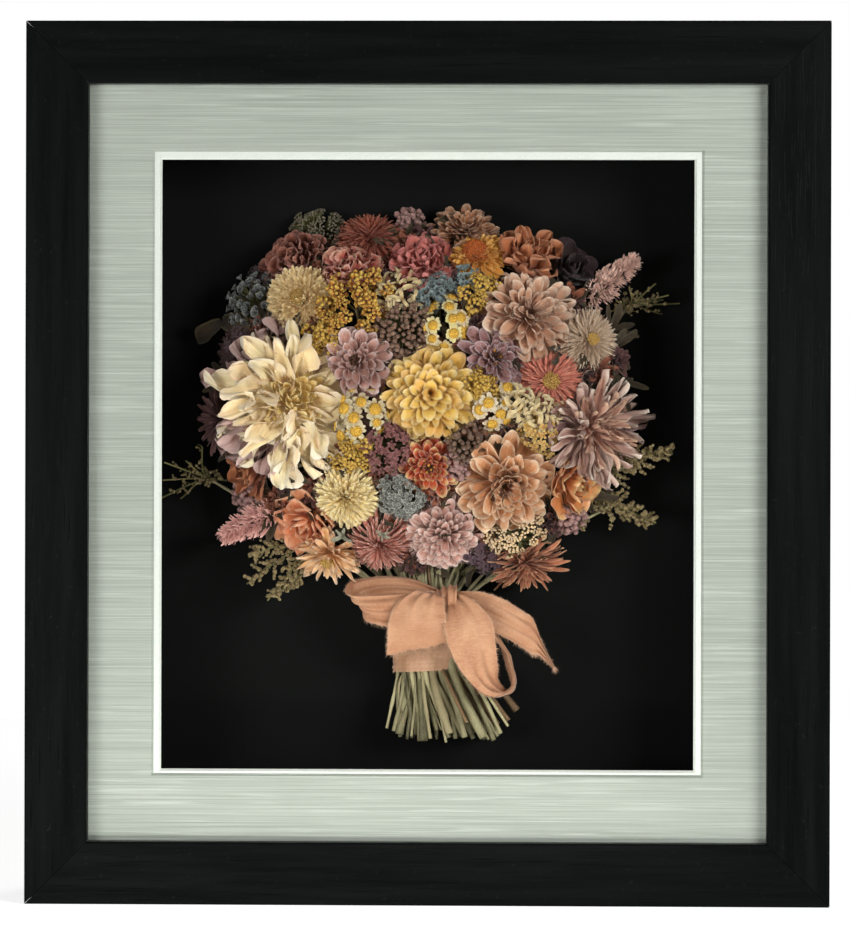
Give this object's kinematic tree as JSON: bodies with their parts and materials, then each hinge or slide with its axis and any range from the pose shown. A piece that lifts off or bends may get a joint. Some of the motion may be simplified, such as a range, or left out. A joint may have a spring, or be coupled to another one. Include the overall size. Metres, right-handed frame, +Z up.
{
  "type": "preserved bouquet shadow box",
  "caption": "Deep black wooden shadow box with a glass front and a sage mat, holding a dried bridal bouquet of dahlias and zinnias tied with peach silk ribbon.",
  "frame": {"origin": "middle of the footprint, on the surface that the box stands on", "axes": "+Z up, the glass faces -Y, +X to the viewer's right"},
  "size_m": [0.527, 0.112, 0.579],
  "materials": {
    "black_wood": "black stain under satin lacquer, fine closed grain",
    "clear_glass": "clear picture glass, polished",
    "sage_silk_board": "silvery sage silk with fine crosswise slubs, laid on mat board",
    "white_board": "smooth white mat board with a bevelled edge",
    "black_suede_board": "black suede-faced board, dead matt",
    "hardboard": "brown hardboard, plain side out",
    "zinc_steel": "bright zinc plate",
    "peach_silk": "crumpled peach silk ribbon, soft sheen, frayed edges",
    "dried_stems": "dry olive-beige stems, ribbed, pale cut ends",
    "cafe_au_lait_dahlia": "dried petals or bracts, matt and papery",
    "yellow_dahlia": "dried petals or bracts, matt and papery",
    "mauve_dahlia": "dried petals or bracts, matt and papery",
    "peach_zinnia": "dried petals or bracts, matt and papery",
    "blush_zinnia": "dried petals or bracts, matt and papery",
    "pink_zinnia": "dried petals or bracts, matt and papery",
    "grey_mauve_zinnia": "dried petals or bracts, matt and papery",
    "pale_pink_zinnia": "dried petals or bracts, matt and papery",
    "rose_aster": "dried petals or bracts, matt and papery",
    "orange_red_zinnia": "dried petals or bracts, matt and papery",
    "cream_pom": "dried petals or bracts, matt and papery",
    "gold_pom": "dried petals or bracts, matt and papery",
    "beige_pink_mum": "dried petals or bracts, matt and papery",
    "strawflower": "dried petals or bracts, matt and papery",
    "salmon_carnation": "dried petals or bracts, matt and papery",
    "coral_carnation": "dried petals or bracts, matt and papery",
    "dusty_red_dahlia": "dried petals or bracts, matt and papery",
    "tan_pink_zinnia": "dried petals or bracts, matt and papery",
    "pink_cockscomb": "dried petals or bracts, matt and papery",
    "salmon_rose": "dried petals or bracts, matt and papery",
    "maroon_rose": "dried petals or bracts, matt and papery",
    "dark_mum": "dried petals or bracts, matt and papery",
    "maroon_dahlia": "dried petals or bracts, matt and papery",
    "rust_rose": "dried petals or bracts, matt and papery",
    "peach_rose": "dried petals or bracts, matt and papery",
    "small_peach_dahlia": "dried petals or bracts, matt and papery",
    "dusty_aster": "dried petals or bracts, matt and papery",
    "ruffled_rose": "dried petals or bracts, matt and papery",
    "low_dahlia": "dried petals or bracts, matt and papery",
    "right_plume": "dried petals or bracts, matt and papery",
    "left_plume": "dried petals or bracts, matt and papery",
    "goldenrod": "dried petals or bracts, matt and papery",
    "mauve_berries": "dried petals or bracts, matt and papery",
    "top_feverfew": "dried petals or bracts, matt and papery",
    "left_feverfew": "dried petals or bracts, matt and papery",
    "right_feverfew": "dried petals or bracts, matt and papery",
    "mauve_yarrow": "dried petals or bracts, matt and papery",
    "grey_berries": "dried petals or bracts, matt and papery",
    "gold_yarrow": "dried petals or bracts, matt and papery",
    "beige_lace": "dried petals or bracts, matt and papery",
    "grey_lace": "dried petals or bracts, matt and papery",
    "blue_statice": "dried petals or bracts, matt and papery",
    "blue_hydrangea": "dried petals or bracts, matt and papery",
    "upper_olive_sprig": "dried petals or bracts, matt and papery",
    "lower_olive_sprig": "dried petals or bracts, matt and papery",
    "left_tendril": "dried petals or bracts, matt and papery",
    "right_tendril": "dried petals or bracts, matt and papery"
  },
  "bodies": {
    "root": {"bottom_rail": "black_wood", "left_stile": "black_wood", "top_rail": "black_wood", "right_stile": "black_wood", "glass": "clear_glass", "sage_mat": "sage_silk_board", "white_mat": "white_board", "liner_tray": "black_suede_board", "back_panel": "hardboard", "left_keyhole_hanger": "zinc_steel", "right_keyhole_hanger": "zinc_steel", "ribbon_wrap": "peach_silk", "ribbon_bow": "peach_silk", "cafe_au_lait_dahlia": "cafe_au_lait_dahlia", "yellow_dahlia": "yellow_dahlia", "mauve_dahlia": "mauve_dahlia", "peach_zinnia": "peach_zinnia", "blush_zinnia": "blush_zinnia", "pink_zinnia": "pink_zinnia", "grey_mauve_zinnia": "grey_mauve_zinnia", "pale_pink_zinnia": "pale_pink_zinnia", "rose_aster": "rose_aster", "orange_red_zinnia": "orange_red_zinnia", "cream_pom": "cream_pom", "gold_pom": "gold_pom", "beige_pink_mum": "beige_pink_mum", "strawflower": "strawflower", "salmon_carnation": "salmon_carnation", "coral_carnation": "coral_carnation", "dusty_red_dahlia": "dusty_red_dahlia", "tan_pink_zinnia": "tan_pink_zinnia", "pink_cockscomb": "pink_cockscomb", "salmon_rose": "salmon_rose", "maroon_rose": "maroon_rose", "dark_mum": "dark_mum", "maroon_dahlia": "maroon_dahlia", "rust_rose": "rust_rose", "peach_rose": "peach_rose", "small_peach_dahlia": "small_peach_dahlia", "dusty_aster": "dusty_aster", "ruffled_rose": "ruffled_rose", "low_dahlia": "low_dahlia", "right_plume": "right_plume", "left_plume": "left_plume", "goldenrod": "goldenrod", "mauve_berries": "mauve_berries", "top_feverfew": "top_feverfew", "left_feverfew": "left_feverfew", "right_feverfew": "right_feverfew", "mauve_yarrow": "mauve_yarrow", "grey_berries": "grey_berries", "gold_yarrow": "gold_yarrow", "beige_lace": "beige_lace", "grey_lace": "grey_lace", "blue_statice": "blue_statice", "blue_hydrangea": "blue_hydrangea", "upper_olive_sprig": "upper_olive_sprig", "lower_olive_sprig": "lower_olive_sprig", "left_tendril": "left_tendril", "right_tendril": "right_tendril"}
  },
  "joints": []
}
